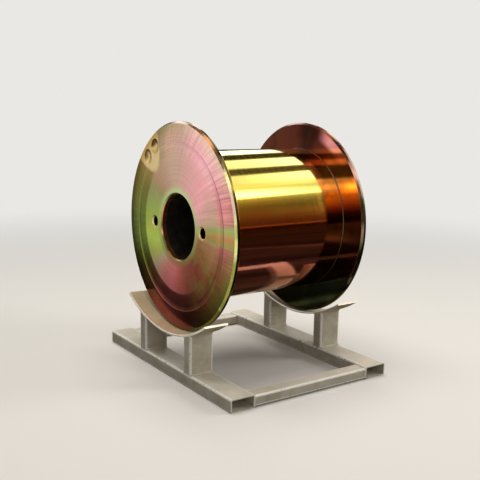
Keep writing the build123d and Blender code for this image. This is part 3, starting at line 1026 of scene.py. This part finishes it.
def tent_cloth():
    """Strips of light and shade by angle about the drum's axis."""
    material, add = new_material("tent_cloth")
    x, y, z = add("SeparateXYZ", [add("TexCoord").outputs["Object"]]).outputs
    height = add("Math", [z, AXIS_Z], "SUBTRACT")
    nearer = add("Math", [y, -1.0], "MULTIPLY")
    angle = add("Math", [height, nearer], "ARCTAN2")
    share = add("Math", [angle, 1 / math.pi], "MULTIPLY")
    # Below the horizon the share is negative, and past the far horizon it goes on from there
    doubled = add("Math", [share], "ABSOLUTE")
    past = add("Math", [doubled, 2.0, -1.0], "MULTIPLY_ADD")
    above = add("Math", [share, past], "MAXIMUM")
    # To the right of the drum the strips draw a little together
    drawn = add("MapRange", [x, 1.9, 2.8, 1.042, 0.916])
    closer = add("Math", [above, drawn], "MULTIPLY")
    over, right = [add("ValToRGB", [closer], stops=[
        (strip[0] / 180, strip[1], strip[column]) for strip in STRIPS]) for column in (2, 3)]
    to_right = add("MapRange", [x, 2.15, 2.5])
    along = add("Mix", {0: to_right, 2: over.outputs["Alpha"], 3: right.outputs["Alpha"]})
    colour, share = over, along
    for middle, reach, strips in ((-1.525, 1.525, LEFT_STRIPS), (-3.3, 0.45, LEFT_END_STRIPS),
                                  (2.9, 0.2, RIGHT_END_STRIPS)):
        there = add("Math", [x, middle, reach], "COMPARE")
        others = add("ValToRGB", [above], stops=[(degrees / 180, *strip) for degrees, *strip in strips])
        colour = add("Mix", {0: there, 6: colour, 7: others}, "RGBA")
        share = add("Mix", {0: there, 2: share, 3: others.outputs["Alpha"]})
    strength = add("Math", [share, STRIP_LEVEL], "MULTIPLY")
    glow = add("Emission", [colour, strength])
    add("OutputMaterial", [glow])
    return material


def dark_cloth():
    """The sheet on the floor: near black round the drum, lighter towards the far wall except
    straight behind the drum."""
    material, add = new_material("dark_cloth")
    place = add("TexCoord").outputs["Object"]
    x, y, _ = add("SeparateXYZ", [place]).outputs
    share = add("MapRange", [y, 0.1, 1.1])
    tone = add("ValToRGB", [share], stops=(
        (0.0, "#241613"), (0.25, "#85776e"), (0.45, "#b8b0a8"), (0.8, "#f4f0ec"), (1.0, "#ffffff")))
    # Straight behind the drum the sheet is dark out to a line that slants to the left
    slanted = add("Math", [y, 0.33, x], "MULTIPLY_ADD")
    beside = add("MapRange", [slanted, -0.29, -0.36], "SMOOTHSTEP")
    behind = add("MapRange", [y, 0.15, 0.4])
    shade = add("Mix", {0: behind, 6: linear("#261e19"), 7: linear("#403a36")}, "RGBA")
    # Faint bands along the drum, which the barrel's underside mirrors
    drawn_out = add("Mapping", {"Vector": place, "Scale": (0.8, 9.0, 1.0)})
    bands = add("TexNoise", {"Vector": drawn_out, "Scale": 1.0, "Detail": 4.0, "Roughness": 0.7})
    banded = add("MapRange", [bands, 0.35, 0.65, 0.35, 2.3])
    off_line = add("Math", [x, -0.49, y], "MULTIPLY_ADD")
    on_line = add("Math", [off_line, -0.676, 0.03], "COMPARE")
    line_tone = add("Math", [on_line, 2.0, banded], "MULTIPLY_ADD")
    uneven = add("VectorMath", [shade, line_tone], "MULTIPLY")
    cloth = add("Mix", {0: beside, 6: uneven, 7: tone}, "RGBA")
    # Towards the front and left it is pale again, which the rims' chamfers show as a bright line
    left = add("MapRange", [x, -0.19, -0.30], "SMOOTHSTEP")
    front = add("MapRange", [y, 0.2, 0.0])
    corner = add("Math", [left, front], "MULTIPLY")
    sheet = add("Mix", {0: corner, 6: cloth, 7: linear("#fffbe6")}, "RGBA")
    glow = add("Emission", [sheet, 1.1])
    add("OutputMaterial", [glow])
    return material


def mirrored_only(sheet):
    """Only mirrored rays meet this: it is never seen, lights nothing and casts no shadow."""
    for ray in ("camera", "diffuse", "transmission", "volume_scatter", "shadow"):
        setattr(sheet, "visible_" + ray, False)


dome_mesh = bpy.data.meshes.new("light_tent")
build = bmesh.new()
bmesh.ops.create_uvsphere(build, u_segments=96, v_segments=48, radius=TENT_RADIUS,
                          matrix=Matrix.Translation((0.0, 0.0, AXIS_Z)))
build.to_mesh(dome_mesh)
build.free()
dome_mesh.materials.append(tent_cloth())
tent = placed("light_tent", dome_mesh)
mirrored_only(tent)
mirrored_only(flat_sheet("dark_sheet", TENT_RADIUS, DARK_SHEET_Z, dark_cloth()))


# Lamps: one broad soft lamp overhead and a little behind, and weak ones in front and to the right.
def soft_lamp(name, place, aim, size, power, colour):
    """A square area lamp aimed at a point, which polished metal doesn't mirror."""
    lamp = bpy.data.lights.new(name, "AREA")
    lamp.size = size
    lamp.energy = power
    lamp.color = linear(colour)[:3]
    holder = placed(name, lamp)
    aimed = (Vector(aim) - Vector(place)).to_track_quat("-Z", "Y").to_matrix().to_4x4()
    holder.matrix_world = Matrix.Translation(place) @ aimed
    holder.visible_glossy = False


soft_lamp("overhead_lamp", (-0.1, 0.4, 2.4), (0.0, 0.0, 0.2), 1.6, 41.0, "#fffbf4")
soft_lamp("front_lamp", (-0.6, -2.5, 1.0), (0.0, 0.0, 0.1), 1.1, 9.0, "#fffaf2")
soft_lamp("right_lamp", (2.0, -1.3, 1.3), (0.1, 0.0, 0.1), 1.0, 21.0, "#fffaf2")

bpy.context.scene.view_settings.view_transform = "Standard"
